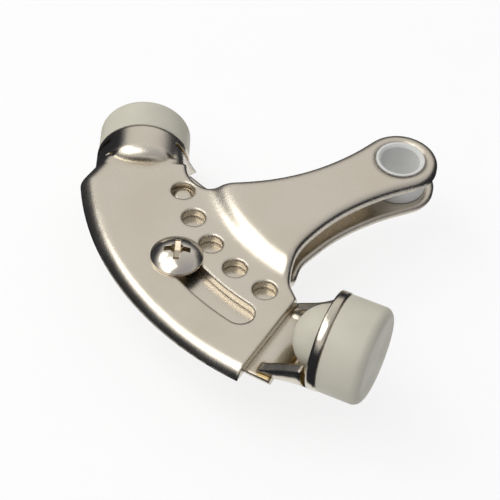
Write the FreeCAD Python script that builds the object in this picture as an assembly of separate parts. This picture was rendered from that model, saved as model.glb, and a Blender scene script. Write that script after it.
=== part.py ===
import FreeCAD, Part
import math
import os

os.makedirs("parts", exist_ok=True)

# Driving dimensions, in millimetres and degrees.
# The origin is on the hinge pin's axis, midway between the two plates, and +Z runs up along the pin.
# Plan angles are measured from the line that joins the pin to the middle index hole.

# Pressed plates
SHEET = 2.0                  # thickness of the pressed steel
PLATE_GAP = 0.1              # play between the two flat sectors
ARM_TOP = 4.5                # height of an arm's outer face above the middle plane
STEP_OUTER_RADIUS = 41.6     # where the arm's step leaves the flat sector
STEP_RUN = 7.0               # plan length of the step
HOLES_FROM_STEP = 3.03       # from the step out to the arc of index holes
SLOT_FROM_HOLES = 7.62       # from there out to the arc of the clamp slot
RIM_FROM_SLOT = 12.55        # from there out to the edge of the upper plate
RIM_BEND = 3.6               # outside radius of the turned-down edge
RIM_DROP = -0.4              # height of the upper plate's turned-down edge
RIM_CORNER_ANGLE = -26.6     # where the rim turns into the shoulder
RIM_CORNER_RADIUS = 4.2      # rounding of that corner in plan
END_ANGLE = 27.85            # sheared end of a plate
END_FROM_STEP = 0.8          # from the step out to the inner corner of the sheared end
LOWER_ROUND = 1.6            # rounding of the lower plate's outer edge
LOWER_SHOULDER = 0.5         # by which it stands out beyond the bumper's wing
LOWER_END_CUT = 2.4          # by which its sheared end's outer corner is cut off
EDGE_ROUND = 1.2             # rounding of an arm's outer edge
TIP_RADIUS = 7.6             # round end of an arm, about the pin
TIP_TANGENT = 82.0           # plan angle at which the arm's sides leave its round end
# Half width of an arm at distances from the pin
ARM_HALF_WIDTHS = [
    (5.0, 6.92), (9.0, 6.52), (13.5, 6.45), (18.0, 6.78), (22.0, 7.5), (26.0, 8.6), (30.0, 10.15)]
NEAR_ROOT = [(8.0, 12.5), (5.7, 15.0), (4.7, 17.2)]  # half width at distances inside the step
FAR_TRIM = 0.022             # slope by which the upper arm's far side is slimmer

# Index holes and clamp slots
HOLE_COUNT = 5
HOLE_PITCH = 10.0            # degrees between settings
HOLE_RADIUS = 2.3
HOLE_EDGE = 0.25             # broken edge of a hole or slot
SLOT_WIDTH = 5.7
SLOT_SWEEP = 20.0            # each plate's slot covers two pitches

# Bumper hoods, each in a frame at the disc's outer face: u runs back along the bumper, w across, z up
BUMPER_FROM_SLOT = 0.38      # from the slot's arc out to the disc's centre, in plan
UPPER_BUMPER_ANGLE = -39.8
LOWER_BUMPER_ANGLE = -41.8
BUMPER_AXIS_ANGLE = -123.25  # direction in which a bumper faces
BUMPER_HEIGHT = -5.14        # bumper axis, seen from the plate it is on
DISC_PROUD = 0.2             # by which the disc and the hood stand out beyond the rubber
DISC_EDGE = 0.7              # rounding of the disc's front edge
DISC_HOLE_RADIUS = 3.3
HOOD_STRAIGHT = 5.9          # length of the hood's tube before its back curves in
HOOD_BACK_ROUND = 3.1
POCKET_STRAIGHT = 4.2        # the same two sizes for the hollow inside
POCKET_BACK_ROUND = 4.4
WING_START = 2.95            # front end of the side wings
UPPER_WING_END = 9.85        # back end on the upper plate
LOWER_WING_END = 11.4        # back end on the lower plate
WING_START_Z = -0.4          # height of their free edge at the front
WING_RISE = 0.536            # slope of that edge
WING_SPLAY = 0.55            # slope at which the wing on the arm's side leans outward
CROWN_HALF_ANGLE = 45.0      # half of the crown that carries the disc
THROAT_START = 11.0          # where the plate's inner face starts to rise into the hood
THROAT_END = 6.6
THROAT_RADIUS = 4.9
THROAT_CLEAR = 0.1           # by which it stays inside the neck's walls
NECK_HALF_WIDTH = 9.3
NECK_END = 8.6
ROOT_RADIUS = 6.7            # concave root between the neck and the arm
ROOT_TURN = 95.0             # degrees through which that root turns

# Rubber bumpers
CAP_RADIUS = 9.4
CAP_LENGTH = 8.0
CAP_ROUND = 1.7
STEM_RADIUS = 3.2
KNOB_RADIUS = 6.7
KNOB_LENGTH = 6.1

# Nylon bush on the hinge pin
BUSH_BORE_RADIUS = 4.0
BUSH_RADIUS = 4.95
BUSH_COLLAR_RADIUS = 5.8
BUSH_LEAD = 0.45
UPPER_ARM_BORE_RADIUS = 4.98
LOWER_ARM_BORE_RADIUS = 5.0

# Clamp screw and flanged nut
SCREW_RADIUS = 2.45
SCREW_HEAD_RADIUS = 5.1
SCREW_HEAD_RIM = 0.5
SCREW_HEAD_HEIGHT = 2.5
SCREW_END_Z = -7.2
RECESS_WIDTH = 1.15
RECESS_LENGTH = 5.6
RECESS_DEPTH = 1.7
RECESS_TURN = 55.0           # plan angle of one arm of the cross
NUT_ACROSS_FLATS = 8.0
NUT_FLANGE_RADIUS = 5.6
NUT_FLANGE = 1.1
NUT_HEIGHT = 4.4
PLAY = 0.05                  # gap under the head and over the nut

# Heights and radii that follow
FLAT_LOW = PLATE_GAP / 2
FLAT_TOP = FLAT_LOW + SHEET
ARM_LOW = ARM_TOP - SHEET
HOLE_ARC_RADIUS = STEP_OUTER_RADIUS + HOLES_FROM_STEP
SLOT_ARC_RADIUS = HOLE_ARC_RADIUS + SLOT_FROM_HOLES
RIM_RADIUS = SLOT_ARC_RADIUS + RIM_FROM_SLOT
LOWER_RADIUS = RIM_RADIUS - RIM_BEND
END_INNER_RADIUS = STEP_OUTER_RADIUS + END_FROM_STEP
BUMPER_RADIUS = SLOT_ARC_RADIUS + BUMPER_FROM_SLOT
DISC_RADIUS = CAP_RADIUS + DISC_PROUD
BEYOND = 2 * RIM_RADIUS      # size of cutting tools that reach past the whole plate

V = FreeCAD.Vector
UP = V(0, 0, 1)
ORIGIN = V(0, 0, 0)


def polar(radius, degrees, z=0.0):
    """Point at a plan radius and angle."""
    a = math.radians(degrees)
    return V(radius * math.cos(a), radius * math.sin(a), z)


def line(a, b):
    """Straight edge between two points."""
    return Part.makeLine(a, b)


def arc(a, b, c):
    """Circular edge through three points."""
    return Part.Arc(a, b, c).toShape()


def prism(edges, z_low, z_high):
    """Upright solid over a closed plan outline."""
    face = Part.Face(Part.Wire(Part.__sortEdges__(edges)))
    face.translate(V(0, 0, z_low))
    return face.extrude(V(0, 0, z_high - z_low))


def revolve(edges, axis):
    """Solid of revolution of a closed profile about an axis through the origin."""
    face = Part.Face(Part.Wire(Part.__sortEdges__(edges)))
    return face.revolve(ORIGIN, axis, 360)


def flipped(shape):
    """The shape turned over about the line to the middle hole."""
    turned = shape.copy()
    turned.rotate(ORIGIN, V(1, 0, 0), 180)
    return turned


def hood_placement(bumper_angle):
    """Frame of a plate's bumper: origin at the disc's outer face, x back along the bumper."""
    centre = polar(BUMPER_RADIUS, bumper_angle, BUMPER_HEIGHT)
    return FreeCAD.Placement(centre, FreeCAD.Rotation(UP, BUMPER_AXIS_ANGLE + 180.0))


def neck_point(placement, u, w):
    """Plan point of a position given in a bumper's frame."""
    p = placement.multVec(V(u, w, 0))
    return V(p.x, p.y, 0)


# Plan outline of one plate

def arm_edge(sign, trim, root_points, root_direction):
    """One side of the arm, from its round tip out to the sector, drawn in by a slope of trim."""
    points = [polar(TIP_RADIUS, sign * TIP_TANGENT)]
    for x, half_width in ARM_HALF_WIDTHS:
        points.append(V(x, sign * (half_width - trim * x), 0))
    points = points + root_points
    curve = Part.BSplineCurve()
    curve.interpolate(
        points, InitialTangent=polar(1.0, sign * (TIP_TANGENT - 90.0)), FinalTangent=root_direction)
    return curve.toShape()


def plate_outline(rim_radius, turned_down, placement):
    """Edges of a plate's outline and, apart, those of its outer edge from sheared end to neck."""
    tip = arc(polar(TIP_RADIUS, TIP_TANGENT), polar(TIP_RADIUS, 180.0), polar(TIP_RADIUS, -TIP_TANGENT))

    end_inner = polar(END_INNER_RADIUS, END_ANGLE)
    end_outer = polar(rim_radius, END_ANGLE)
    near_root = [V(STEP_OUTER_RADIUS - inside, y, 0) for inside, y in NEAR_ROOT]
    near_edge = arm_edge(1, 0.0, near_root, V(0.22, 1, 0))
    near_corner = line(near_root[-1], end_inner)

    neck_inner = neck_point(placement, NECK_END, NECK_HALF_WIDTH)
    if turned_down:
        neck_outer = neck_point(placement, NECK_END, -NECK_HALF_WIDTH)
        outer = rounded_corner(rim_radius, end_outer, neck_outer)
        sheared = [line(end_inner, end_outer)]
    else:
        neck_outer = neck_point(placement, NECK_END, -NECK_HALF_WIDTH - LOWER_SHOULDER)
        on_end = polar(rim_radius - LOWER_END_CUT, END_ANGLE)
        on_rim = polar(rim_radius, END_ANGLE - math.degrees(LOWER_END_CUT / rim_radius))
        outer = [arc(on_rim, polar(rim_radius, 0.0), neck_outer)]
        sheared = [line(end_inner, on_end), line(on_end, on_rim)]
    across = line(neck_outer, neck_inner)

    # The concave root turns from the neck's direction into the arm's.
    heading = BUMPER_AXIS_ANGLE + 180.0
    centre = neck_inner + polar(ROOT_RADIUS, heading + 90.0)
    root_middle = centre + polar(ROOT_RADIUS, heading - 90.0 + ROOT_TURN / 2)
    root_end = centre + polar(ROOT_RADIUS, heading - 90.0 + ROOT_TURN)
    root = arc(neck_inner, root_middle, root_end)
    trim = FAR_TRIM if turned_down else 0.0
    far_edge = arm_edge(-1, trim, [root_end], polar(1.0, heading + ROOT_TURN + 180.0))
    return [tip, near_edge, near_corner] + sheared + outer + [across, root, far_edge], outer


def rounded_corner(rim_radius, rim_start, neck_outer):
    """Rim arc, corner rounding and shoulder line, tangent to one another."""
    radius = RIM_CORNER_RADIUS
    corner = polar(rim_radius, RIM_CORNER_ANGLE)
    direction = (neck_outer - corner).normalize()
    inward = inward_normal(direction, corner)
    # The rounding's centre is at its radius inside both the rim and the shoulder line.
    base = corner + inward * radius
    along = base.dot(direction)
    reach = rim_radius - radius
    root = math.sqrt(along * along - base.dot(base) + reach * reach)
    shift = min(-along - root, -along + root, key=abs)
    centre = base + direction * shift
    on_rim = centre * (rim_radius / centre.Length)
    on_line = centre - inward * radius
    middle = centre + ((on_rim - centre) + (on_line - centre)).normalize() * radius
    rim_middle = (rim_start + on_rim).normalize() * rim_radius
    rim = arc(rim_start, rim_middle, on_rim)
    return [rim, arc(on_rim, middle, on_line), line(on_line, neck_outer)]


def inward_normal(direction, point):
    """Plan direction square to a line that points to the pin's side."""
    inward = V(direction.y, -direction.x, 0)
    if inward.dot(point) > 0:
        inward = inward * -1.0
    return inward


# Flat sector with its turned-down edge, stepped arm, hood

def edges_over(shape, guides, z):
    """Edges of a shape that lie on guide edges lifted to a height."""
    found = []
    for edge in shape.Edges:
        middle = edge.valueAt((edge.FirstParameter + edge.LastParameter) / 2)
        if abs(middle.z - z) > 0.001:
            continue
        spot = Part.Vertex(V(middle.x, middle.y, 0))
        if min(guide.distToShape(spot)[0] for guide in guides) < 0.01:
            found.append(edge)
    return found


def inset_edges(outer_edges, distance):
    """The outer edge moved inward by a distance, for the hollow under a turned-down edge."""
    rim, corner, shoulder = outer_edges
    moved = []
    for edge in (rim, corner):
        centre = edge.Curve.Center
        radius = edge.Curve.Radius - distance
        middle = (edge.FirstParameter + edge.LastParameter) / 2
        points = [edge.valueAt(t) for t in (edge.FirstParameter, middle, edge.LastParameter)]
        moved.append(arc(*[centre + (p - centre).normalize() * radius for p in points]))
    a = shoulder.Vertexes[0].Point
    b = shoulder.Vertexes[1].Point
    inward = inward_normal((b - a).normalize(), a)
    moved.append(line(a + inward * distance, b + inward * distance))
    return moved


def rim_hollow(outer_edges, placement):
    """Space under the upper plate and inside its turned-down edge."""
    inner = inset_edges(outer_edges, SHEET)
    start = inner[0].valueAt(inner[0].FirstParameter)
    tail = inner[2].Vertexes[1].Point
    far_tail = tail + placement.Rotation.multVec(V(-6, 0, 0))
    back = far_tail + placement.Rotation.multVec(V(0, 30, 0))
    lead = start + polar(3.0, END_ANGLE + 90.0)
    inside = polar(15.0, END_ANGLE + 20.0)
    corners = [tail, far_tail, back, inside, lead, start]
    loop = inner + [line(a, b) for a, b in zip(corners[:-1], corners[1:])]
    hollow = prism(loop, -13.0, FLAT_LOW)
    return hollow.makeFillet(RIM_BEND - SHEET, edges_over(hollow, inner, FLAT_LOW))


def flat_sector(outline, outer_edges, turned_down, placement):
    """Flat part of a plate outside the arm's step, its outer edge turned down or only rounded."""
    low = RIM_DROP if turned_down else FLAT_LOW
    block = prism(outline, -12.0, FLAT_TOP)
    bend = RIM_BEND if turned_down else LOWER_ROUND
    block = block.makeFillet(bend, edges_over(block, outer_edges, FLAT_TOP))
    if turned_down:
        block = block.cut(rim_hollow(outer_edges, placement))
    core = Part.makeCylinder(STEP_OUTER_RADIUS, BEYOND, V(0, 0, -BEYOND / 2))
    under = Part.makeBox(2 * BEYOND, 2 * BEYOND, BEYOND, V(-BEYOND, -BEYOND, low - BEYOND))
    return block.cut(core).cut(under)


def stepped_arm(outline):
    """The arm and the radiused step that raises it above the sector."""
    rise = ARM_TOP - FLAT_TOP
    bend = (STEP_RUN * STEP_RUN + rise * rise) / (4 * rise)
    turn = 2 * math.atan2(rise, STEP_RUN)
    outer = STEP_OUTER_RADIUS
    inner = outer - STEP_RUN

    def step_points(z_flat, z_arm, r_flat, r_arm):
        """Points of one face of the step: flat end, concave bend, middle, convex bend, arm end."""
        half = turn / 2
        c1 = V(outer, 0, z_flat + r_flat)
        c2 = V(inner, 0, z_arm - r_arm)
        a1 = c1 + V(-r_flat * math.sin(half), 0, -r_flat * math.cos(half))
        m = c1 + V(-r_flat * math.sin(turn), 0, -r_flat * math.cos(turn))
        a2 = c2 + V(r_arm * math.sin(half), 0, r_arm * math.cos(half))
        return V(outer, 0, z_flat), a1, m, a2, V(inner, 0, z_arm)

    top = step_points(FLAT_TOP, ARM_TOP, bend, bend)
    low = step_points(FLAT_LOW, ARM_LOW, bend + SHEET, bend - SHEET)
    profile = [
        line(V(0, 0, ARM_TOP), top[4]),
        arc(top[4], top[3], top[2]),
        arc(top[2], top[1], top[0]),
        line(top[0], low[0]),
        arc(low[0], low[1], low[2]),
        arc(low[2], low[3], low[4]),
        line(low[4], V(0, 0, ARM_LOW)),
        line(V(0, 0, ARM_LOW), V(0, 0, ARM_TOP)),
    ]
    return revolve(profile, UP).common(prism(outline, -1.0, 8.0))


def tube_arch(u, radius, top):
    """Cross-section where the hood is round: a circle cut flat at the plate, one side leaning outward."""
    rim_angle = math.asin(top / radius)
    arm_side = tube_side(radius, math.atan(WING_SPLAY), rim_angle)
    rim_side = tube_side(radius, 0.0, rim_angle)
    return arch(u, arm_side, rim_side)


def tube_side(radius, lean, rim_angle):
    """Points of one side of a round arch, from its foot to its flat top, as positions across and up."""
    spring = (radius * math.cos(lean), radius * math.sin(lean))
    foot = (spring[0] + math.tan(lean) * (spring[1] + 15.0), -15.0)
    middle = (lean + rim_angle) / 2
    rim = (radius * math.cos(rim_angle), radius * math.sin(rim_angle))
    return [foot, spring, (radius * math.cos(middle), radius * math.sin(middle)), rim]


def neck_arch(u, half_width, corner, top):
    """Cross-section where the hood has become the plate's neck: straight sides and rounded corners."""
    s = math.sqrt(0.5)
    rim = half_width - corner
    spring = top - corner
    side = [(half_width, -15.0), (half_width, spring), (rim + corner * s, spring + corner * s), (rim, top)]
    return arch(u, side, side)


def arch(u, arm_side, rim_side):
    """Closed arch across the bumper's axis, from its feet up over two corners to a flat top."""
    right = [V(u, w, z) for w, z in arm_side]
    left = [V(u, -w, z) for w, z in rim_side]
    return Part.Wire([
        line(right[0], right[1]),
        arc(right[1], right[2], right[3]),
        line(right[3], left[3]),
        arc(left[3], left[2], left[1]),
        line(left[1], left[0]),
        line(left[0], right[0]),
    ])


def round_back(u_start, radius, straight, back_round, front_edge):
    """Round plug on the bumper's axis whose back end curves in."""
    s = math.sqrt(0.5)
    end = straight + back_round
    low = radius - back_round
    edges = [line(V(u_start, 0, 0), V(u_start, 0, radius - front_edge))]
    if front_edge > 0:
        turn = front_edge * (1 - s)
        edges.append(arc(
            V(u_start, 0, radius - front_edge),
            V(u_start + turn, 0, radius - turn),
            V(u_start + front_edge, 0, radius),
        ))
    edges.append(line(V(u_start + front_edge, 0, radius), V(straight, 0, radius)))
    edges.append(arc(
        V(straight, 0, radius), V(straight + back_round * s, 0, low + back_round * s), V(end, 0, low)))
    edges.append(line(V(end, 0, low), V(end, 0, 0)))
    edges.append(line(V(end, 0, 0), V(u_start, 0, 0)))
    return revolve(edges, V(1, 0, 0))


def wings(u_start, u_end, radius, half_width, corner, top):
    """Solid that runs from the round hood back into the neck."""
    first = tube_arch(u_start, radius, top)
    last = neck_arch(NECK_END, half_width, corner, top)
    body = Part.makeLoft([first, last], True, True)
    return body.fuse(Part.Face(last).extrude(V(u_end - NECK_END, 0, 0)))


def hood(placement, wing_end):
    """Drawn hood of a bumper: domed tube, side wings and the disc bent over its end."""
    top = FLAT_TOP - BUMPER_HEIGHT
    low = FLAT_LOW - BUMPER_HEIGHT
    outer = round_back(0.0, DISC_RADIUS, HOOD_STRAIGHT, HOOD_BACK_ROUND, DISC_EDGE)
    outer = outer.fuse(wings(WING_START, wing_end, DISC_RADIUS, NECK_HALF_WIDTH, RIM_BEND, top))
    pocket = round_back(SHEET, DISC_RADIUS - SHEET, POCKET_STRAIGHT, POCKET_BACK_ROUND, 0.0)
    pocket = pocket.fuse(wings(
        SHEET, wing_end, DISC_RADIUS - SHEET, NECK_HALF_WIDTH - SHEET, RIM_BEND - SHEET, low))
    shell = outer.cut(pocket)

    # Below the wings' free edge everything behind the disc is open.
    end_z = WING_START_Z + WING_RISE * (wing_end - WING_START)
    edge = Part.makePolygon([
        V(WING_START, -BEYOND, WING_START_Z),
        V(wing_end, -BEYOND, end_z),
        V(wing_end, -BEYOND, -BEYOND),
        V(WING_START, -BEYOND, -BEYOND),
        V(WING_START, -BEYOND, WING_START_Z),
    ])
    shell = shell.cut(Part.Face(edge).extrude(V(0, 2 * BEYOND, 0)))

    # A narrow slot frees the wings from the disc, which hangs on the hood's crown alone.
    high = 2 * DISC_RADIUS
    crown = high * math.tan(math.radians(CROWN_HALF_ANGLE))
    slot = Part.makePolygon([
        V(SHEET, 0, 0),
        V(SHEET, crown, high),
        V(SHEET, BEYOND, high),
        V(SHEET, BEYOND, -BEYOND),
        V(SHEET, -BEYOND, -BEYOND),
        V(SHEET, -BEYOND, high),
        V(SHEET, -crown, high),
        V(SHEET, 0, 0),
    ])
    shell = shell.cut(Part.Face(slot).extrude(V(WING_START - SHEET, 0, 0)))
    shell = shell.cut(Part.makeCylinder(DISC_HOLE_RADIUS, 10, V(-4, 0, 0), V(1, 0, 0)))
    shell.Placement = placement
    return shell


def throat(placement):
    """Space of the smooth ramp that leads from the plate's inner face into the hood's pocket."""
    low = FLAT_LOW - BUMPER_HEIGHT
    half = NECK_HALF_WIDTH - SHEET - THROAT_CLEAR
    turn = math.asin((THROAT_START - THROAT_END) / THROAT_RADIUS)
    start, middle, end = [
        V(THROAT_START - THROAT_RADIUS * math.sin(a), -half, low + THROAT_RADIUS * (1 - math.cos(a)))
        for a in (0.0, turn / 2, turn)
    ]
    under_end = V(THROAT_END, -half, low - 4.0)
    under_start = V(THROAT_START, -half, low - 4.0)
    ramp = arc(start, middle, end)
    sides = [line(end, under_end), line(under_end, under_start), line(under_start, start)]
    space = Part.Face(Part.Wire([ramp] + sides)).extrude(V(0, 2 * half, 0))
    curved = [e for e in space.Edges if isinstance(e.Curve, Part.Circle)]
    space = space.makeFillet(RIM_BEND - SHEET, curved)
    space.Placement = placement
    return space


def arc_slot(radius, width, sweep, z_low, z_high):
    """Round-ended slot along an arc about the pin, from angle zero to its sweep."""
    inner = radius - width / 2
    outer = radius + width / 2
    mid = sweep / 2
    cap_a = polar(radius, 0.0) + V(0, -width / 2, 0)
    cap_b = polar(radius, sweep) + polar(width / 2, sweep + 90.0)
    edges = [
        arc(polar(outer, 0.0), polar(outer, mid), polar(outer, sweep)),
        arc(polar(outer, sweep), cap_b, polar(inner, sweep)),
        arc(polar(inner, sweep), polar(inner, mid), polar(inner, 0.0)),
        arc(polar(inner, 0.0), cap_a, polar(outer, 0.0)),
    ]
    return prism(edges, z_low, z_high)


def rounded_edges(shape, outline):
    """Outer edges of the arm and its roots, which the press leaves rounded."""
    chosen = []
    guides = [outline[0], outline[1], outline[-1]]
    for edge in shape.Edges:
        middle = edge.valueAt((edge.FirstParameter + edge.LastParameter) / 2)
        spot = Part.Vertex(V(middle.x, middle.y, 0))
        if min(guide.distToShape(spot)[0] for guide in guides) > 0.01:
            continue
        r = math.hypot(middle.x, middle.y)
        ends = [v.Point.z for v in edge.Vertexes]
        upright = len(ends) == 2 and math.hypot(
            edge.Vertexes[0].X - edge.Vertexes[1].X, edge.Vertexes[0].Y - edge.Vertexes[1].Y) < 0.01
        if upright:
            continue
        level = FLAT_TOP if r > STEP_OUTER_RADIUS - 0.01 else None
        if r < STEP_OUTER_RADIUS - STEP_RUN:
            level = ARM_TOP
        if level is not None and abs(middle.z - level) < 0.01:
            chosen.append(edge)
        if level is None and middle.z > step_middle(r):
            chosen.append(edge)
    return chosen


def step_middle(r):
    """Height halfway through the sheet on the arm's step."""
    t = (STEP_OUTER_RADIUS - r) / STEP_RUN
    s = t * t * (3 - 2 * t)
    return (FLAT_LOW + FLAT_TOP) / 2 + s * (ARM_TOP - FLAT_TOP)


def pressed_plate(rim_radius, turned_down, bumper_angle, wing_end, bore_radius, holes):
    """One whole pressed plate, its arm upward."""
    placement = hood_placement(bumper_angle)
    outline, outer = plate_outline(rim_radius, turned_down, placement)
    flat = flat_sector(outline, outer, turned_down, placement)
    arm = stepped_arm(outline)
    plate = flat.fuse(arm).removeSplitter()
    plate = plate.makeFillet(EDGE_ROUND, rounded_edges(plate, outline))
    plate = plate.fuse(hood(placement, wing_end)).cut(throat(placement)).removeSplitter()

    slot = arc_slot(SLOT_ARC_RADIUS, SLOT_WIDTH, SLOT_SWEEP, -1.0, 4.0)
    plate = plate.cut(slot)
    for k in range(holes):
        spot = polar(HOLE_ARC_RADIUS, (k - (holes - 1) / 2) * HOLE_PITCH, -1.0)
        plate = plate.cut(Part.makeCylinder(HOLE_RADIUS, 5.0, spot))
        rim = V(spot.x, spot.y, FLAT_TOP - HOLE_EDGE)
        plate = plate.cut(Part.makeCone(HOLE_RADIUS, HOLE_RADIUS + 2 * HOLE_EDGE, 2 * HOLE_EDGE, rim))
    plate = plate.cut(Part.makeCylinder(bore_radius, 10.0, V(0, 0, -2.0)))
    edge = V(0, 0, ARM_TOP - HOLE_EDGE)
    return plate.cut(Part.makeCone(bore_radius, bore_radius + 2 * HOLE_EDGE, 2 * HOLE_EDGE, edge))


# Rubber bumpers, bush, screw and nut

def bumper(placement):
    """Moulded rubber bumper: cap in front of the disc, stem through it and a domed knob behind."""
    s = math.sqrt(0.5)
    face = -CAP_LENGTH
    ball = (KNOB_RADIUS ** 2 + KNOB_LENGTH ** 2) / (2 * KNOB_LENGTH)
    dome_middle = V(SHEET + KNOB_LENGTH - ball * (1 - s), 0, ball * s)
    edges = [
        line(V(face, 0, 0), V(face, 0, CAP_RADIUS - CAP_ROUND)),
        arc(
            V(face, 0, CAP_RADIUS - CAP_ROUND),
            V(face + CAP_ROUND * (1 - s), 0, CAP_RADIUS - CAP_ROUND * (1 - s)),
            V(face + CAP_ROUND, 0, CAP_RADIUS),
        ),
        line(V(face + CAP_ROUND, 0, CAP_RADIUS), V(0, 0, CAP_RADIUS)),
        line(V(0, 0, CAP_RADIUS), V(0, 0, STEM_RADIUS)),
        line(V(0, 0, STEM_RADIUS), V(SHEET, 0, STEM_RADIUS)),
        line(V(SHEET, 0, STEM_RADIUS), V(SHEET, 0, KNOB_RADIUS)),
        line(V(SHEET + KNOB_LENGTH, 0, 0), V(face, 0, 0)),
    ]
    edges.append(arc(V(SHEET, 0, KNOB_RADIUS), dome_middle, V(SHEET + KNOB_LENGTH, 0, 0)))
    body = revolve(edges, V(1, 0, 0))
    body.Placement = placement
    return body


def hinge_bush():
    """Nylon sleeve for the hinge pin, with a collar that keeps the two arms apart."""
    collar_z = ARM_LOW - PLAY
    bush = Part.makeCylinder(BUSH_RADIUS, 2 * ARM_TOP, V(0, 0, -ARM_TOP))
    bush = bush.fuse(Part.makeCylinder(BUSH_COLLAR_RADIUS, 2 * collar_z, V(0, 0, -collar_z)))
    bush = bush.cut(Part.makeCylinder(BUSH_BORE_RADIUS, 20.0, V(0, 0, -10.0)))
    wide = BUSH_BORE_RADIUS + 2 * BUSH_LEAD
    lead = Part.makeCone(BUSH_BORE_RADIUS, wide, 2 * BUSH_LEAD, V(0, 0, ARM_TOP - BUSH_LEAD))
    bush = bush.cut(lead)
    return bush.cut(flipped(lead)).removeSplitter()


def clamp_screw(spot):
    """Truss-head machine screw with a cross recess."""
    seat = FLAT_TOP + PLAY
    dome = SCREW_HEAD_HEIGHT - SCREW_HEAD_RIM
    ball = (SCREW_HEAD_RADIUS ** 2 + dome ** 2) / (2 * dome)
    rim_z = seat + SCREW_HEAD_RIM
    head = Part.makeCylinder(SCREW_HEAD_RADIUS, SCREW_HEAD_HEIGHT + 1, V(0, 0, seat))
    skirt = Part.makeCylinder(SCREW_HEAD_RADIUS + 1, SCREW_HEAD_RIM, V(0, 0, seat))
    sphere = Part.makeSphere(ball, V(0, 0, rim_z + dome - ball))
    head = head.common(sphere.fuse(skirt))
    shank = Part.makeCylinder(SCREW_RADIUS, seat - SCREW_END_Z + 0.5, V(0, 0, SCREW_END_Z))
    screw = head.fuse(shank)
    crown = seat + SCREW_HEAD_HEIGHT
    floor = crown - RECESS_DEPTH
    for turn in (0.0, 90.0):
        wing = Part.makePolygon([
            V(-RECESS_LENGTH / 2, 0, crown + 0.5),
            V(-RECESS_LENGTH / 2 + 0.3, 0, crown - 0.7),
            V(-0.9, 0, floor),
            V(0.9, 0, floor),
            V(RECESS_LENGTH / 2 - 0.3, 0, crown - 0.7),
            V(RECESS_LENGTH / 2, 0, crown + 0.5),
            V(-RECESS_LENGTH / 2, 0, crown + 0.5),
        ])
        cut = Part.Face(wing).extrude(V(0, RECESS_WIDTH, 0))
        cut.translate(V(0, -RECESS_WIDTH / 2, 0))
        cut.rotate(ORIGIN, UP, turn + RECESS_TURN)
        screw = screw.cut(cut)
    well = Part.makeCone(0.5, 1.5, RECESS_DEPTH + 0.1, V(0, 0, floor))
    screw = screw.cut(well).removeSplitter()
    screw.translate(spot)
    return screw


def clamp_nut(spot):
    """Flanged hexagon nut under the lower plate."""
    seat = -FLAT_TOP - PLAY
    corner = NUT_ACROSS_FLATS / 2 / math.cos(math.radians(30))
    points = [polar(corner, 60.0 * k, seat - NUT_HEIGHT) for k in range(7)]
    hexagon = Part.Face(Part.makePolygon(points)).extrude(V(0, 0, NUT_HEIGHT))
    chamfer = Part.makeCone(corner - 0.6, corner + 3.0, 3.6, V(0, 0, seat - NUT_HEIGHT))
    full = Part.makeCylinder(corner + 3, 3, V(0, 0, seat - NUT_HEIGHT + 3.5))
    hexagon = hexagon.common(chamfer.fuse(full))
    flange_z = V(0, 0, seat - NUT_FLANGE)
    flange = Part.makeCone(NUT_FLANGE_RADIUS - 0.9, NUT_FLANGE_RADIUS, NUT_FLANGE, flange_z)
    nut = hexagon.fuse(flange)
    nut = nut.cut(Part.makeCylinder(SCREW_RADIUS + PLAY, 20, V(0, 0, seat - 10)))
    nut = nut.removeSplitter()
    nut.translate(spot)
    return nut


clamp_spot = polar(SLOT_ARC_RADIUS, 0.0)

upper_plate = pressed_plate(
    RIM_RADIUS, True, UPPER_BUMPER_ANGLE, UPPER_WING_END, UPPER_ARM_BORE_RADIUS, HOLE_COUNT)
lower_plate = flipped(pressed_plate(
    LOWER_RADIUS, False, LOWER_BUMPER_ANGLE, LOWER_WING_END, LOWER_ARM_BORE_RADIUS, 0))
upper_bumper = bumper(hood_placement(UPPER_BUMPER_ANGLE))
lower_bumper = flipped(bumper(hood_placement(LOWER_BUMPER_ANGLE)))

nodes = {
    "upper_plate": upper_plate,
    "lower_plate": lower_plate,
    "hinge_bush": hinge_bush(),
    "clamp_screw": clamp_screw(clamp_spot),
    "clamp_nut": clamp_nut(clamp_spot),
    "upper_bumper": upper_bumper,
    "lower_bumper": lower_bumper,
}

for name, shape in nodes.items():
    print(name, shape.isValid(), len(shape.Solids), round(shape.Volume, 1))
    shape.exportStep("parts/" + name + ".step")
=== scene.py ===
"""Looks of a hinge pin door stop: nickel-plated pressed plates, ivory rubber bumpers and a nylon bush."""

from __future__ import annotations

import logging
import math
from dataclasses import dataclass, field
from enum import Enum
from typing import Any

import bpy
from mathutils import Matrix, Vector


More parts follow.
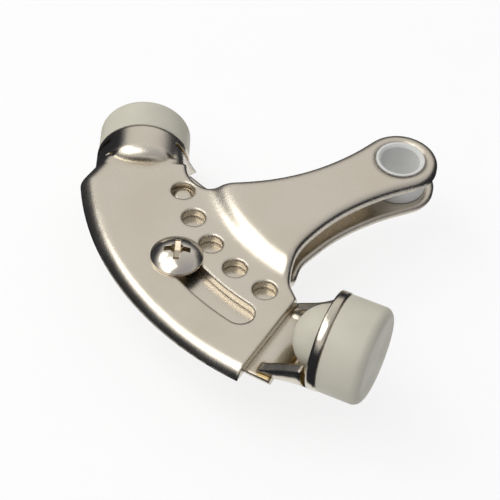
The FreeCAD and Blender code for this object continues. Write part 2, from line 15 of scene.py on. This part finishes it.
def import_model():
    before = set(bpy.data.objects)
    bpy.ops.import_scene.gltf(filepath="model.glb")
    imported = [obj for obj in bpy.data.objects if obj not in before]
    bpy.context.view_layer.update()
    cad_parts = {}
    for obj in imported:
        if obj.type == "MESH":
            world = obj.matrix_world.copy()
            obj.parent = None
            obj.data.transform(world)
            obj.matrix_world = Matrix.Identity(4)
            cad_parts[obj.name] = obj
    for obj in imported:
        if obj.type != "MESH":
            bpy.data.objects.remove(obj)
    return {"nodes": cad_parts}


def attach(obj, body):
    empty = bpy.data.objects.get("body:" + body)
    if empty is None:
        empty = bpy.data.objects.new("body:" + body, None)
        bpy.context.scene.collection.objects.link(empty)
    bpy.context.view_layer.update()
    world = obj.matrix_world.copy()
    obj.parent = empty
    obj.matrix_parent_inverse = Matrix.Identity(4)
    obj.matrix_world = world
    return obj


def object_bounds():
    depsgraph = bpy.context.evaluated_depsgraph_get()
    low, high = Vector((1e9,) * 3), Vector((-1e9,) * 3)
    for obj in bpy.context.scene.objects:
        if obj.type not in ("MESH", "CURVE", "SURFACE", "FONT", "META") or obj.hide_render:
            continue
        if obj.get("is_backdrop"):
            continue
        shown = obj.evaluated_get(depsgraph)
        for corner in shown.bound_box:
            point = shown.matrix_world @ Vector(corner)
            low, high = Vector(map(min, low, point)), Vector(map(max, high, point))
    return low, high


LOG = logging.getLogger("door_stop")
MM = 0.001

Colour = tuple[float, float, float]


class Piece(Enum):
    """Nodes of the solid model."""

    UPPER_PLATE = "upper_plate"
    LOWER_PLATE = "lower_plate"
    HINGE_BUSH = "hinge_bush"
    CLAMP_SCREW = "clamp_screw"
    CLAMP_NUT = "clamp_nut"
    UPPER_BUMPER = "upper_bumper"
    LOWER_BUMPER = "lower_bumper"


class Body(Enum):
    """Moving body that a new piece rides on."""

    LOWER = "lower"


class Value:
    """A number socket of a shader, with arithmetic that adds Math nodes."""

    def __init__(self, graph: ShaderGraph, socket: Any) -> None:
        """Wraps one socket of a graph."""
        self.graph = graph
        self.socket = socket

    def _math(self, operation: str, first: Any, second: Any) -> Value:
        """Adds one Math node.

        Args:
            operation: The node's operation.
            first: First operand, a Value or a number.
            second: Second operand, a Value or a number.

        Returns:
            The node's result.
        """
        return Value(self.graph, self.graph.node(
            "ShaderNodeMath", {"operation": operation}, {0: first, 1: second}).outputs[0])

    def __add__(self, other: Any) -> Value:
        """Sum."""
        return self._math("ADD", self, other)

    def __sub__(self, other: Any) -> Value:
        """Difference."""
        return self._math("SUBTRACT", self, other)

    def __mul__(self, other: Any) -> Value:
        """Product."""
        return self._math("MULTIPLY", self, other)

    def __lt__(self, other: Any) -> Value:
        """One where this value is below the other."""
        return self._math("LESS_THAN", self, other)

    def __gt__(self, other: Any) -> Value:
        """One where this value is above the other."""
        return self._math("GREATER_THAN", self, other)


class ShaderGraph:
    """Builds one node tree."""

    def __init__(self, tree: bpy.types.NodeTree) -> None:
        """Clears the tree that is to be built."""
        self.tree = tree
        self.tree.nodes.clear()

    def node(self, kind: str, settings: dict[str, Any], inputs: dict[Any, Any]) -> bpy.types.Node:
        """Adds any node.

        Args:
            kind: The node's type.
            settings: Properties set before its sockets are filled.
            inputs: Values or links by socket name or number.

        Returns:
            The new node.
        """
        made = self.tree.nodes.new(kind)
        for name, value in settings.items():
            setattr(made, name, value)
        for key, value in inputs.items():
            socket = made.inputs[key]
            if isinstance(value, Value):
                value = value.socket
            if isinstance(value, bpy.types.NodeSocket):
                self.tree.links.new(value, socket)
            else:
                socket.default_value = value
        return made

    def place(self) -> bpy.types.NodeSocket:
        """Object coordinates, in metres."""
        return self.node("ShaderNodeTexCoord", {}, {}).outputs["Object"]

    def noise(self, scale: float, detail: float, rough: float = 0.5) -> Value:
        """Cloudy pattern between 0 and 1.

        Args:
            scale: Features per metre.
            detail: Octaves.
            rough: Weight of the finer octaves.

        Returns:
            The pattern.
        """
        made = self.node("ShaderNodeTexNoise", {}, {
            "Vector": self.place(), "Scale": scale, "Detail": detail, "Roughness": rough})
        return Value(self, made.outputs["Fac"])

    def blend(self, factor: Any, first: Any, second: Any) -> bpy.types.NodeSocket:
        """Mix of two colours.

        Args:
            factor: Share of the second colour.
            first: First colour.
            second: Second colour.

        Returns:
            The mixed colour.
        """
        made = self.node("ShaderNodeMix", {"data_type": "RGBA"}, {
            0: factor, 6: self._colour(first), 7: self._colour(second)})
        return made.outputs[2]

    @staticmethod
    def _colour(value: Any) -> Any:
        """A plain colour with its fourth number, or a link as it is."""
        return (*value, 1.0) if isinstance(value, tuple) and len(value) == 3 else value

    def limited(self, value: Value, low: float, high: float, out_low: float, out_high: float) -> Value:
        """Value moved from one range to another and kept inside it.

        Args:
            value: The value to move.
            low: Start of its range.
            high: End of its range.
            out_low: Result at the start.
            out_high: Result at the end.

        Returns:
            The moved value.
        """
        made = self.node("ShaderNodeMapRange", {"clamp": True}, {
            "Value": value, "From Min": low, "From Max": high, "To Min": out_low, "To Max": out_high})
        return Value(self, made.outputs[0])

    def bump(self, height: Value, distance: float, strength: float,
             normal: Any) -> bpy.types.NodeSocket:
        """Normal of a fine relief.

        Args:
            height: Relief between 0 and 1.
            distance: Its depth in metres.
            strength: How much of it shows.
            normal: Normal that it is laid on.

        Returns:
            The new normal.
        """
        made = self.node("ShaderNodeBump", {}, {
            "Height": height, "Distance": distance, "Strength": strength, "Normal": normal})
        return made.outputs["Normal"]

    def soft_edge(self, radius: float) -> bpy.types.NodeSocket:
        """Normal that rounds sharp edges over a small radius."""
        return self.node("ShaderNodeBevel", {"samples": 8}, {"Radius": radius}).outputs["Normal"]

    def painted_recess_shade(self, reach: float) -> Value:
        """Ambient occlusion mask for painted shade: one in the piece's own hollows and zero on its open
        faces.

        Args:
            reach: How far the occlusion looks for other faces, in metres.

        Returns:
            The mask for painted shade.
        """
        made = self.node(
            "ShaderNodeAmbientOcclusion", {"samples": 8, "only_local": True}, {"Distance": reach})
        return self.limited(Value(self, made.outputs["AO"]), 0.55, 0.96, 1.0, 0.0)

    def along(self, axis: str, place: Any = None) -> Value:
        """One part of a place or a direction.

        Args:
            axis: X, Y or Z.
            place: What is taken apart, which is the object's coordinates unless given.

        Returns:
            That part.
        """
        parts = self.node("ShaderNodeSeparateXYZ", {}, {0: self.place() if place is None else place})
        return Value(self, parts.outputs[axis])


def new_graph(name: str) -> tuple[bpy.types.Material, ShaderGraph]:
    """Starts a material.

    Args:
        name: The material's name.

    Returns:
        The material and the graph that builds it.
    """
    material = bpy.data.materials.new(name)
    material.use_nodes = True
    return material, ShaderGraph(material.node_tree)


def close_surface(graph: ShaderGraph, inputs: dict[str, Any]) -> None:
    """Ends a material in a Principled surface.

    Args:
        graph: The material's graph.
        inputs: The surface's values and links.
    """
    surface = graph.node("ShaderNodeBsdfPrincipled", {}, inputs)
    graph.node("ShaderNodeOutputMaterial", {}, {"Surface": surface.outputs[0]})


@dataclass(frozen=True)
class NickelPlate:
    """Bright nickel over pressed steel, slightly satin from the metal under it."""

    name: str
    warm: Colour = (0.655, 0.597, 0.503)
    pale: Colour = (0.700, 0.646, 0.560)
    # Golden brown painted into the hollows: painted shade and painted reflection of the walls in each
    # other.
    painted_shade_gold: Colour = (0.370, 0.275, 0.128)
    rough_low: float = 0.19
    rough_high: float = 0.31
    grain_depth: float = 0.000050
    edge: float = 0.00090
    rolled_edge: float | None = None
    rolled_within: float = 0.0385
    drawn_beyond: float = 0.0300
    drawn_polish: float = 0.09
    cloud_scale: float = 70.0
    grain_scale: float = 3600.0
    ripple_scale: float = 420.0
    painted_shade_reach: float = 0.0026
    thread_below: float | None = None
    thread_scale: float = 390.0
    thread_depth: float = 0.00025

    def build(self) -> bpy.types.Material:
        """Makes the material.

        Returns:
            The material.
        """
        material, graph = new_graph(self.name)
        clouds = graph.noise(self.cloud_scale, 3.0)
        grain = graph.noise(self.grain_scale, 3.0, 0.6)
        ripple = graph.noise(self.ripple_scale, 2.0)
        relief = grain * 0.6 + ripple * 0.9
        rounded = graph.soft_edge(self.edge)
        polish: Any = 0.0
        if self.rolled_edge is not None:
            rounded, polish = self._pressed(graph, rounded)
        normal = graph.bump(relief, self.grain_depth, 0.55, rounded)
        if self.thread_below is not None:
            normal = self._thread(graph, normal)
        tint = graph.limited(clouds, 0.35, 0.65, 0.0, 1.0)
        rough = graph.limited(clouds + grain * 0.5, 0.5, 1.0, self.rough_low, self.rough_high) - polish
        # An occlusion mask paints the hollows golden brown, as painted shade and painted reflection.
        painted_recess_shade = graph.painted_recess_shade(self.painted_shade_reach)
        close_surface(graph, {
            "Base Color": graph.blend(painted_recess_shade, graph.blend(tint, self.warm, self.pale), self.painted_shade_gold),
            "Metallic": 1.0,
            "Roughness": rough,
            "Normal": normal,
        })
        return material

    def _pressed(self, graph: ShaderGraph, rounded: Any) -> tuple[bpy.types.NodeSocket, Value]:
        """Rolled edges along the arm, and the polish that the die leaves on the drawn hoods.

        Args:
            graph: The material's graph.
            rounded: Normal of the other edges.

        Returns:
            The normal of all edges, and how much smoother the hoods are.
        """
        outward, sideways = graph.along("X"), graph.along("Y")
        from_pin = outward * outward + sideways * sideways
        arm = graph.limited(
            from_pin, (self.rolled_within - MM) ** 2, (self.rolled_within + MM) ** 2, 1.0, 0.0)
        hoods = graph.limited(
            sideways * sideways, (self.drawn_beyond - MM) ** 2, (self.drawn_beyond + 2.0 * MM) ** 2,
            0.0, self.drawn_polish)
        mixed = graph.node("ShaderNodeMix", {"data_type": "VECTOR"}, {
            0: arm, 4: rounded, 5: graph.soft_edge(self.rolled_edge)})
        return mixed.outputs[1], hoods

    def _thread(self, graph: ShaderGraph, normal: Any) -> bpy.types.NodeSocket:
        """Fine rings of a machine thread below a height.

        Args:
            graph: The material's graph.
            normal: Normal that the rings are laid on.

        Returns:
            The new normal.
        """
        wave = graph.node("ShaderNodeTexWave", {"bands_direction": "Z"}, {
            "Vector": graph.place(), "Scale": self.thread_scale, "Distortion": 0.0})
        rings = Value(graph, wave.outputs["Fac"]) * (graph.along("Z") < self.thread_below)
        return graph.bump(rings, self.thread_depth, 0.8, normal)


@dataclass(frozen=True)
class IvoryRubber:
    """Moulded cream rubber with a satin skin."""

    name: str = "ivory_rubber"
    cream: Colour = (0.600, 0.580, 0.482)
    shade: Colour = (0.540, 0.524, 0.438)
    speck: Colour = (0.400, 0.380, 0.300)
    roughness: float = 0.42
    cloud_scale: float = 130.0
    skin_scale: float = 1900.0
    skin_depth: float = 0.00003
    speck_scale: float = 5200.0
    edge: float = 0.00025

    def build(self) -> bpy.types.Material:
        """Makes the material.

        Returns:
            The material.
        """
        material, graph = new_graph(self.name)
        clouds = graph.noise(self.cloud_scale, 4.0)
        skin = graph.noise(self.skin_scale, 4.0, 0.65)
        specks = graph.noise(self.speck_scale, 1.0) > 0.76
        tint = graph.limited(clouds, 0.3, 0.7, 0.0, 1.0)
        colour = graph.blend(specks * 0.12, graph.blend(tint, self.cream, self.shade), self.speck)
        rough = graph.limited(clouds + skin, 0.7, 1.3, self.roughness - 0.07, self.roughness + 0.12)
        close_surface(graph, {
            "Base Color": colour,
            "Roughness": rough,
            "Specular IOR Level": 0.45,
            "Normal": graph.bump(skin, self.skin_depth, 0.5, graph.soft_edge(self.edge)),
        })
        return material


@dataclass(frozen=True)
class WhiteNylon:
    """Turned white nylon, faintly ringed by its tool."""

    name: str = "white_nylon"
    white: Colour = (0.700, 0.705, 0.685)
    dull: Colour = (0.640, 0.645, 0.630)
    roughness: float = 0.38
    cloud_scale: float = 240.0
    ring_scale: float = 900.0
    ring_depth: float = 0.00002
    edge: float = 0.00015

    def build(self) -> bpy.types.Material:
        """Makes the material.

        Returns:
            The material.
        """
        material, graph = new_graph(self.name)
        clouds = graph.noise(self.cloud_scale, 3.0)
        turned = graph.node("ShaderNodeTexWave", {"wave_type": "RINGS", "rings_direction": "Z"}, {
            "Vector": graph.place(), "Scale": self.ring_scale, "Distortion": 1.2, "Detail": 2.0})
        rings = Value(graph, turned.outputs["Fac"])
        tint = graph.limited(clouds, 0.3, 0.7, 0.0, 1.0)
        rough = graph.limited(clouds + rings * 0.3, 0.4, 1.0, self.roughness - 0.06, self.roughness + 0.12)
        close_surface(graph, {
            "Base Color": graph.blend(tint, self.white, self.dull),
            "Roughness": rough,
            "Normal": graph.bump(rings * 0.5 + clouds, self.ring_depth, 0.4, graph.soft_edge(self.edge)),
        })
        return material


@dataclass(frozen=True)
class StudioPaper:
    """Plain white paper under the object."""

    name: str = "studio_paper"
    white: Colour = (0.970, 0.970, 0.975)
    dull: Colour = (0.950, 0.950, 0.960)
    glow: float = 0.78
    fibre_scale: float = 60.0

    def build(self) -> bpy.types.Material:
        """Makes the material, which shows itself as part white and part lit paper.

        Returns:
            The material.
        """
        material, graph = new_graph(self.name)
        fibres = graph.noise(self.fibre_scale, 5.0)
        paper = graph.node("ShaderNodeBsdfDiffuse", {}, {
            "Color": graph.blend(graph.limited(fibres, 0.3, 0.7, 0.0, 1.0), self.white, self.dull)})
        white = graph.node("ShaderNodeEmission", {}, {"Color": (1.0, 1.0, 1.0, 1.0), "Strength": 1.0})
        path = graph.node("ShaderNodeLightPath", {}, {})
        seen = Value(graph, path.outputs["Is Camera Ray"]) + Value(graph, path.outputs["Is Glossy Ray"])
        seen = seen + Value(graph, path.outputs["Is Transmission Ray"])
        mixed = graph.node("ShaderNodeMixShader", {}, {
            0: graph.limited(seen, 0.0, 1.0, 0.0, self.glow), 1: paper.outputs[0], 2: white.outputs[0]})
        graph.node("ShaderNodeOutputMaterial", {}, {"Surface": mixed.outputs[0]})
        return material


@dataclass(frozen=True)
class DarkCard:
    """Card round the table, dark at its foot, as pale as the room at its top and higher on two sides."""

    reach: float
    name: str = "dark_card"
    foot: Colour = (0.026, 0.028, 0.035)
    middle: Colour = (0.150, 0.153, 0.168)
    top: Colour = (0.760, 0.745, 0.720)
    low: float = 0.118
    half: float = 0.205
    high: float = 0.360
    lift: float = 0.150
    lift_side: float = math.radians(-33.0)
    lift_from: float = 0.30
    lift_full: float = 0.60
    cloud_scale: float = 4.0
    cloud_rise: float = 0.02

    def build(self) -> bpy.types.Material:
        """Makes the material.

        Returns:
            The material.
        """
        material, graph = new_graph(self.name)
        toward = graph.along("X") * (math.cos(self.lift_side) / self.reach)
        toward = toward + graph.along("Y") * (math.sin(self.lift_side) / self.reach)
        sides = graph.limited(toward * toward, self.lift_from, self.lift_full, 0.0, 1.0)
        clouds = graph.noise(self.cloud_scale, 2.0) * self.cloud_rise
        rise = graph.along("Z") + clouds - sides * self.lift
        lower = graph.limited(rise, self.low, self.half, 0.0, 1.0)
        upper = graph.limited(rise, self.half, self.high, 0.0, 1.0)
        colour = graph.blend(upper, graph.blend(lower, self.foot, self.middle), self.top)
        light = graph.node("ShaderNodeEmission", {}, {"Color": colour, "Strength": 1.0})
        graph.node("ShaderNodeOutputMaterial", {}, {"Surface": light.outputs[0]})
        return material


def dress(piece: Piece, material: bpy.types.Material, nodes: dict[str, bpy.types.Object]) -> None:
    """Gives a node of the solid model its finish.

    Args:
        piece: The node.
        material: Its finish.
        nodes: The loaded nodes by name.
    """
    mesh = nodes[piece.value].data
    mesh.materials.clear()
    mesh.materials.append(material)
    LOG.info("%s dressed in %s", piece.value, material.name)


def start_piece() -> None:
    """Leaves edit mode and deselects everything before a new primitive."""
    if bpy.context.object is not None and bpy.context.object.mode != "OBJECT":
        bpy.ops.object.mode_set(mode="OBJECT")
    bpy.ops.object.select_all(action="DESELECT")


def select_faces(piece: bpy.types.Object, upward: float, above: float) -> None:
    """Selects faces of the piece in edit mode by their normal and height.

    Args:
        piece: The piece being edited.
        upward: Least upward part of a face's normal.
        above: Least height of a face's middle.
    """
    bpy.ops.mesh.select_all(action="DESELECT")
    bpy.ops.object.mode_set(mode="OBJECT")
    for face in piece.data.polygons:
        face.select = face.normal.z >= upward and face.center.z >= above
    bpy.ops.object.mode_set(mode="EDIT")


def settle(piece: bpy.types.Object) -> None:
    """Moves a piece's place into its mesh and shades it smooth.

    Args:
        piece: The piece, which is the selected one.
    """
    bpy.ops.object.transform_apply(location=True, rotation=True, scale=True)
    bpy.ops.object.shade_smooth_by_angle(angle=math.radians(40.0))
    LOG.info("%s modelled, %d faces", piece.name, len(piece.data.polygons))


@dataclass
class PressedPlates:
    """The two pressed plates and the index pip raised on the lower one."""

    hole_arc_radius: float = 44.63 * MM
    pip_angle: float = math.radians(-20.0)
    pip_radius: float = 2.05 * MM
    pip_foot: float = -0.35 * MM
    pip_top: float = 0.85 * MM
    pip_round: float = 0.80 * MM
    finish: NickelPlate = field(default_factory=lambda: NickelPlate("bright_nickel", rolled_edge=0.0021))

    def dress(self, nodes: dict[str, bpy.types.Object]) -> bpy.types.Material:
        """Plates both pressings.

        Args:
            nodes: The loaded nodes by name.

        Returns:
            The nickel finish, for the pip.
        """
        nickel = self.finish.build()
        dress(Piece.UPPER_PLATE, nickel, nodes)
        dress(Piece.LOWER_PLATE, nickel, nodes)
        return nickel

    def build_pip(self, nickel: bpy.types.Material) -> bpy.types.Object:
        """Raises the pip that drops into one of the index holes.

        Args:
            nickel: The plates' finish.

        Returns:
            The pip.
        """
        start_piece()
        bpy.ops.mesh.primitive_cylinder_add(
            vertices=48,
            radius=self.pip_radius,
            depth=self.pip_top - self.pip_foot,
            location=(
                self.hole_arc_radius * math.cos(self.pip_angle),
                self.hole_arc_radius * math.sin(self.pip_angle),
                (self.pip_top + self.pip_foot) / 2,
            ),
        )
        pip = bpy.context.object
        pip.name = "index_pip"
        bpy.ops.object.mode_set(mode="EDIT")
        bpy.ops.mesh.select_mode(type="FACE")
        select_faces(pip, upward=0.9, above=0.0)
        bpy.ops.mesh.region_to_loop()
        bpy.ops.mesh.bevel(offset=self.pip_round, segments=10, profile=0.5, affect="EDGES")
        bpy.ops.object.mode_set(mode="OBJECT")
        settle(pip)
        pip.data.materials.append(nickel)
        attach(pip, Body.LOWER.value)
        return pip


@dataclass
class Clamp:
    """Truss-head screw and flanged nut that hold the plates at a setting."""

    # The screw's third colour is painted shade and painted reflection in its hollows.
    screw_finish: NickelPlate = field(default_factory=lambda: NickelPlate(
        "screw_nickel", warm=(0.640, 0.590, 0.510), pale=(0.690, 0.645, 0.570), painted_shade_gold=(0.480, 0.410, 0.300),
        rough_low=0.13, rough_high=0.22, grain_depth=0.000012, edge=0.00012, thread_below=-2.2 * MM))
    nut_finish: NickelPlate = field(default_factory=lambda: NickelPlate(
        "nut_nickel", warm=(0.620, 0.580, 0.510), pale=(0.670, 0.630, 0.560),
        rough_low=0.16, rough_high=0.28))

    def dress(self, nodes: dict[str, bpy.types.Object]) -> None:
        """Plates the screw and the nut.

        Args:
            nodes: The loaded nodes by name.
        """
        dress(Piece.CLAMP_SCREW, self.screw_finish.build(), nodes)
        dress(Piece.CLAMP_NUT, self.nut_finish.build(), nodes)


@dataclass
class Bumpers:
    """The two rubber bumpers."""

    finish: IvoryRubber = field(default_factory=IvoryRubber)

    def dress(self, nodes: dict[str, bpy.types.Object]) -> None:
        """Gives both bumpers their rubber.

        Args:
            nodes: The loaded nodes by name.
        """
        rubber = self.finish.build()
        dress(Piece.UPPER_BUMPER, rubber, nodes)
        dress(Piece.LOWER_BUMPER, rubber, nodes)


@dataclass
class HingeBush:
    """The nylon bush that runs on the hinge pin."""

    finish: WhiteNylon = field(default_factory=WhiteNylon)

    def dress(self, nodes: dict[str, bpy.types.Object]) -> None:
        """Gives the bush its nylon.

        Args:
            nodes: The loaded nodes by name.
        """
        dress(Piece.HINGE_BUSH, self.finish.build(), nodes)


@dataclass(frozen=True)
class SoftBox:
    """Square soft box that faces the object."""

    name: str
    place: tuple[float, float, float]
    size: float
    watts: float
    tint: Colour = (1.0, 0.985, 0.96)
    target: tuple[float, float, float] = (0.035, 0.0, 0.0)

    def hang(self) -> None:
        """Adds the lamp to the scene."""
        lamp = bpy.data.lights.new(self.name, "AREA")
        lamp.shape = "SQUARE"
        lamp.size = self.size
        lamp.energy = self.watts
        lamp.color = self.tint
        box = bpy.data.objects.new(self.name, lamp)
        box.location = self.place
        toward = Vector(self.target) - Vector(self.place)
        box.rotation_euler = toward.to_track_quat("-Z", "Y").to_euler()
        bpy.context.scene.collection.objects.link(box)
        LOG.info("%s hung", self.name)


@dataclass
class Studio:
    """Paper floor, dark cards, soft light and the camera."""

    floor_half: float = 4.0
    floor_gap: float = 0.0004
    table_middle: tuple[float, float] = (0.03, 0.0)
    card_radius: float = 0.62
    card_high: float = 0.530
    table_card_inner: float = 0.045
    table_card_gap: float = 0.0006
    card_sides: int = 96
    top_box: SoftBox = SoftBox("top_box", (0.38, -0.01, 0.65), 0.50, 1.55)
    far_box: SoftBox = SoftBox("far_box", (0.40, -0.52, 0.66), 0.42, 1.25)
    sky_near: Colour = (0.400, 0.405, 0.440)
    sky_far: Colour = (0.875, 0.865, 0.845)
    sky_strength: float = 0.92
    sky_far_until: float = -0.55
    sky_near_from: float = 0.80
    camera_place: tuple[float, float, float] = (0.173612, 0.195731, 0.243950)
    camera_azimuth: float = 144.754
    camera_elevation: float = 46.032
    camera_roll: float = -4.785
    camera_lens: float = 125.56
    camera_sensor: float = 36.0

    def build(self, lowest: float) -> None:
        """Sets up everything round the object.

        Args:
            lowest: Height of the object's lowest point.
        """
        self.build_floor(lowest)
        self.build_cards(lowest)
        self.build_sky()
        self.top_box.hang()
        self.far_box.hang()
        self.build_camera()

    def build_floor(self, lowest: float) -> None:
        """Lays the paper just under the object.

        Args:
            lowest: Height of the object's lowest point.
        """
        start_piece()
        bpy.ops.mesh.primitive_plane_add(
            size=2.0 * self.floor_half, location=(0.0, 0.0, lowest - self.floor_gap))
        floor = bpy.context.object
        floor.name = "paper_floor"
        floor.data.materials.append(StudioPaper().build())
        floor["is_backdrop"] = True
        LOG.info("paper floor laid")

    def build_cards(self, lowest: float) -> None:
        """Stands a ring of dark card round the table and lays one on it, seen only in reflections.

        Args:
            lowest: Height of the object's lowest point.
        """
        dark = DarkCard(reach=self.card_radius).build()
        start_piece()
        bpy.ops.mesh.primitive_cylinder_add(
            vertices=self.card_sides, radius=self.card_radius, depth=self.card_high,
            end_fill_type="NOTHING", location=(*self.table_middle, lowest + self.card_high / 2))
        ring = bpy.context.object
        ring.name = "card_ring"
        bpy.ops.object.transform_apply(location=True, rotation=True, scale=True)
        self.only_reflected(ring, dark)

        start_piece()
        bpy.ops.mesh.primitive_circle_add(
            vertices=self.card_sides, radius=self.card_radius, fill_type="NGON",
            location=(*self.table_middle, lowest + self.table_card_gap))
        table = bpy.context.object
        table.name = "table_card"
        bpy.ops.object.mode_set(mode="EDIT")
        bpy.ops.mesh.select_all(action="SELECT")
        bpy.ops.mesh.inset(thickness=self.card_radius - self.table_card_inner)
        bpy.ops.mesh.delete(type="FACE")
        bpy.ops.object.mode_set(mode="OBJECT")
        self.only_reflected(table, dark)

    @staticmethod
    def only_reflected(card: bpy.types.Object, dark: bpy.types.Material) -> None:
        """Lets a card show in reflections alone.

        Args:
            card: The card.
            dark: Its finish.
        """
        card.data.materials.append(dark)
        card.visible_camera = False
        card.visible_diffuse = False
        card.visible_shadow = False
        card.visible_transmission = False
        card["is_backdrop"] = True
        LOG.info("%s stood up", card.name)

    def build_sky(self) -> None:
        """Fills the room with pale light, dimmer on the camera's side."""
        world = bpy.data.worlds.new("pale_room")
        world.use_nodes = True
        bpy.context.scene.world = world
        graph = ShaderGraph(world.node_tree)
        direction = graph.node("ShaderNodeTexCoord", {}, {}).outputs["Generated"]
        share = graph.limited(
            graph.along("Y", direction), self.sky_far_until, self.sky_near_from, 1.0, 0.0)
        colour = graph.blend(share, self.sky_near, self.sky_far)
        light = graph.node("ShaderNodeBackground", {}, {"Color": colour, "Strength": self.sky_strength})
        graph.node("ShaderNodeOutputWorld", {}, {"Surface": light.outputs[0]})
        LOG.info("sky set")

    def build_camera(self) -> None:
        """Puts the camera where the photograph was taken."""
        lens = bpy.data.cameras.new("photo_camera")
        lens.sensor_fit = "HORIZONTAL"
        lens.sensor_width = self.camera_sensor
        lens.lens = self.camera_lens
        lens.clip_start = 0.01
        lens.clip_end = 20.0
        camera = bpy.data.objects.new("photo_camera", lens)
        camera.matrix_world = self.camera_matrix()
        bpy.context.scene.collection.objects.link(camera)
        bpy.context.scene.camera = camera
        LOG.info("camera placed")

    def camera_matrix(self) -> Matrix:
        """Works out the camera's place and turn from its azimuth, elevation and roll.

        Returns:
            The camera's matrix.
        """
        azimuth = math.radians(self.camera_azimuth)
        elevation = math.radians(self.camera_elevation)
        roll = math.radians(self.camera_roll)
        back = Vector((
            math.sin(azimuth) * math.cos(elevation),
            -math.cos(azimuth) * math.cos(elevation),
            math.sin(elevation),
        ))
        level_up = (Vector((0.0, 0.0, 1.0)) - back * back.z).normalized()
        level_right = level_up.cross(back)
        up = level_up * math.cos(roll) + level_right * math.sin(roll)
        right = up.cross(back)
        turn = Matrix((right, up, back)).transposed().to_4x4()
        return Matrix.Translation(Vector(self.camera_place)) @ turn


def main() -> None:
    """Dresses the door stop, adds its small pieces and sets up the studio."""
    logging.basicConfig(level=logging.INFO, format="%(message)s")
    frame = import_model()
    solid_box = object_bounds()
    nodes = frame["nodes"]

    plates = PressedPlates()
    nickel = plates.dress(nodes)
    plates.build_pip(nickel)
    Clamp().dress(nodes)
    Bumpers().dress(nodes)
    HingeBush().dress(nodes)
    Studio().build(float(solid_box[0][2]))

    bpy.context.scene.view_settings.view_transform = "Standard"


if __name__ == "__main__":
    main()
